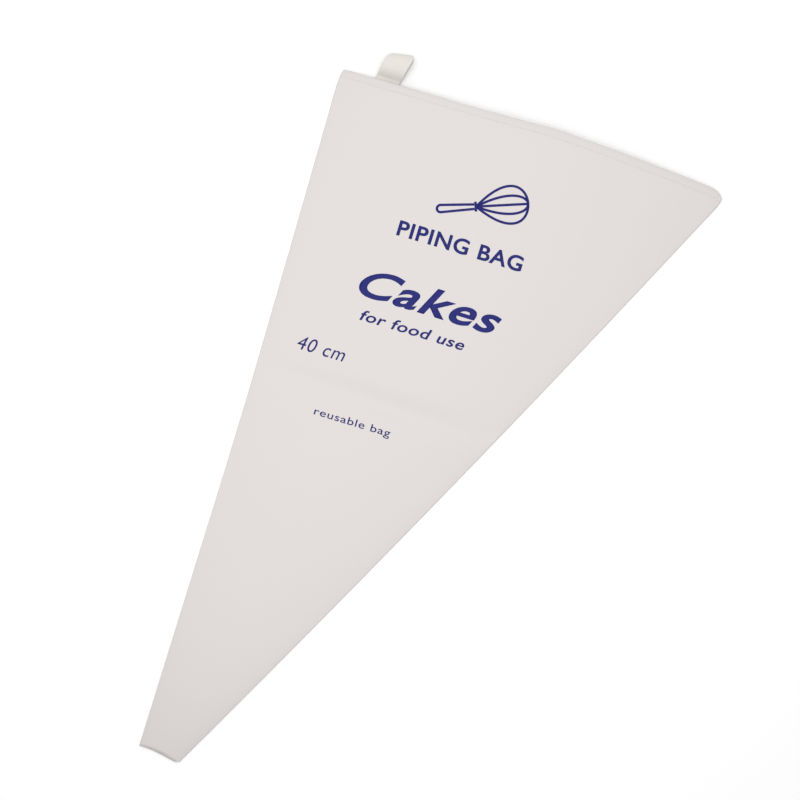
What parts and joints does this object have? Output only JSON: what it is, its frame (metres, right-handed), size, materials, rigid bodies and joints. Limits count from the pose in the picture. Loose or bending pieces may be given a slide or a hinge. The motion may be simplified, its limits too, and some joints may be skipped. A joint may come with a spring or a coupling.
{
  "type": "piping bag",
  "caption": "Flat conical piping bag of coated cloth with a hemmed mouth that opens, an open tip, a welded side and a hanging loop.",
  "frame": {"origin": "middle of the tip opening, on the plane that the back leaf rests on", "axes": "+Y from the tip up the bag to the mouth, +X to the welded side, +Z out of the printed front leaf"},
  "size_m": [0.217, 0.4211, 0.0102],
  "materials": {
    "bag_cloth": "matt coated nylon weave",
    "hem_cloth": "matt coated nylon weave, two layers",
    "seam_weld": "welded cloth, slightly glossy",
    "sewing_thread": "twisted polyester",
    "loop_tape": "woven twill tape",
    "print_ink": "flat screen print"
  },
  "bodies": {
    "back_leaf": {"back_panel": "bag_cloth", "back_hem": "hem_cloth", "side_seam": "seam_weld", "back_hem_stitches": "sewing_thread", "loop_tail": "loop_tape", "loop_stitches": "sewing_thread"},
    "front_leaf": {"front_panel": "bag_cloth", "front_hem": "hem_cloth", "front_hem_stitches": "sewing_thread"},
    "loop": {"hanging_loop": "loop_tape"}
  },
  "joints": [
    {"name": "mouth_open", "type": "hinge", "parent": "back_leaf", "child": "front_leaf", "pos_m": [0, -0.002, 0.0011], "axis": [1, 0, 0], "range_deg": [0, 8]},
    {"name": "loop_swing", "type": "hinge", "parent": "back_leaf", "child": "loop", "pos_m": [-0.08379, 0.38075, 0.0015], "axis": [0.9748, 0.223, 0], "range_deg": [0, 55]}
  ]
}
